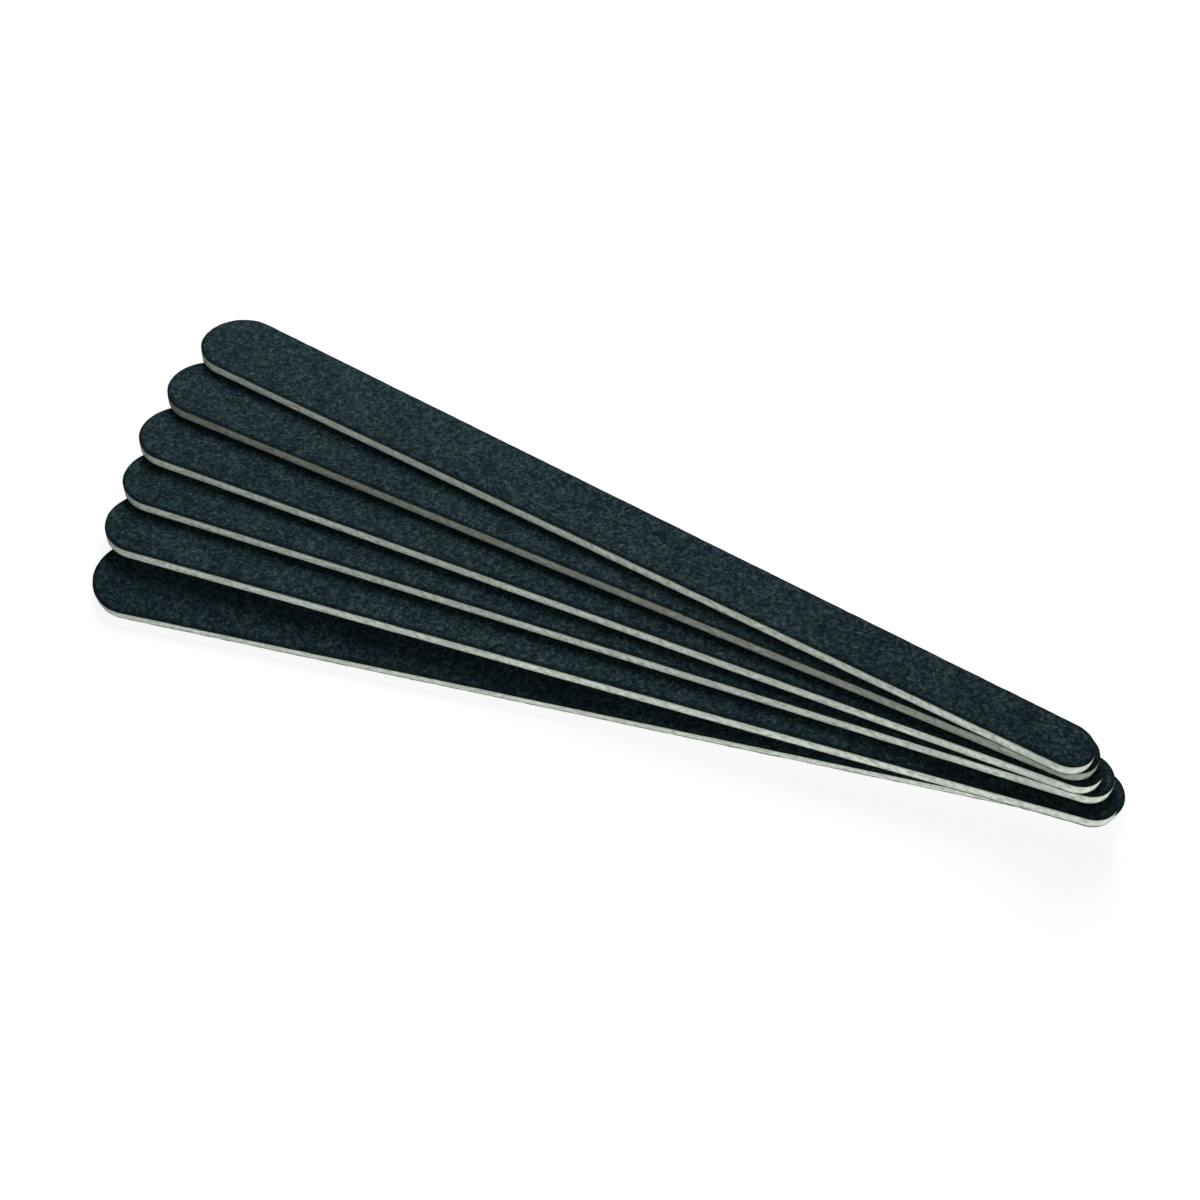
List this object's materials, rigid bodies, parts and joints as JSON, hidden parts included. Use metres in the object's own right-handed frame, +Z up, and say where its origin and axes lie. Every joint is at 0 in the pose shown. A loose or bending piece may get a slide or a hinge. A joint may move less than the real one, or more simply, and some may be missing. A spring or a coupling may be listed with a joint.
{
  "type": "emery board set",
  "caption": "Fan of slim tapered emery boards with round ends: dark grit sheets glued to both faces of a pale pulpboard core.",
  "frame": {"origin": "on the table, under the middle of the lowest board, which lies flat", "axes": "+X along the lowest board to its narrow end, +Y to the side that the fan opens to, +Z up"},
  "size_m": [0.1808, 0.0669, 0.0153],
  "materials": {
    "grit_coat": "matte",
    "black_backing_paper": "matte",
    "glue_film": "matte",
    "pulpboard_core": "matte"
  },
  "bodies": {
    "board_1": {"board_1_lower_grit": "grit_coat", "board_1_lower_paper": "black_backing_paper", "board_1_lower_glue": "glue_film", "board_1_core": "pulpboard_core", "board_1_upper_glue": "glue_film", "board_1_upper_paper": "black_backing_paper", "board_1_upper_grit": "grit_coat"},
    "board_2": {"board_2_lower_grit": "grit_coat", "board_2_lower_paper": "black_backing_paper", "board_2_lower_glue": "glue_film", "board_2_core": "pulpboard_core", "board_2_upper_glue": "glue_film", "board_2_upper_paper": "black_backing_paper", "board_2_upper_grit": "grit_coat"},
    "board_3": {"board_3_lower_grit": "grit_coat", "board_3_lower_paper": "black_backing_paper", "board_3_lower_glue": "glue_film", "board_3_core": "pulpboard_core", "board_3_upper_glue": "glue_film", "board_3_upper_paper": "black_backing_paper", "board_3_upper_grit": "grit_coat"},
    "board_4": {"board_4_lower_grit": "grit_coat", "board_4_lower_paper": "black_backing_paper", "board_4_lower_glue": "glue_film", "board_4_core": "pulpboard_core", "board_4_upper_glue": "glue_film", "board_4_upper_paper": "black_backing_paper", "board_4_upper_grit": "grit_coat"},
    "board_5": {"board_5_lower_grit": "grit_coat", "board_5_lower_paper": "black_backing_paper", "board_5_lower_glue": "glue_film", "board_5_core": "pulpboard_core", "board_5_upper_glue": "glue_film", "board_5_upper_paper": "black_backing_paper", "board_5_upper_grit": "grit_coat"},
    "board_6": {"board_6_lower_grit": "grit_coat", "board_6_lower_paper": "black_backing_paper", "board_6_lower_glue": "glue_film", "board_6_core": "pulpboard_core", "board_6_upper_glue": "glue_film", "board_6_upper_paper": "black_backing_paper", "board_6_upper_grit": "grit_coat"}
  },
  "joints": [
    {"name": "swing_2", "type": "hinge", "parent": "board_1", "child": "board_2", "pos_m": [0.0826, -0.00321, 0.00393], "axis": [0.0039, 0.2153, 0.9765], "range_deg": [0, 4.55]},
    {"name": "swing_3", "type": "hinge", "parent": "board_2", "child": "board_3", "pos_m": [0.08131, -0.0002, 0.00554], "axis": [0.0039, 0.2153, 0.9765], "range_deg": [0, 2.35]},
    {"name": "swing_4", "type": "hinge", "parent": "board_3", "child": "board_4", "pos_m": [0.07902, -0.00001, 0.00778], "axis": [0.0039, 0.2153, 0.9765], "range_deg": [0, 3.35]},
    {"name": "swing_5", "type": "hinge", "parent": "board_4", "child": "board_5", "pos_m": [0.07773, 0.00105, 0.00983], "axis": [0.0039, 0.2153, 0.9765], "range_deg": [0, 3.65]},
    {"name": "swing_6", "type": "hinge", "parent": "board_5", "child": "board_6", "pos_m": [0.07644, 0.00075, 0.01217], "axis": [0.0039, 0.2153, 0.9765], "range_deg": [0, 4.3]}
  ]
}
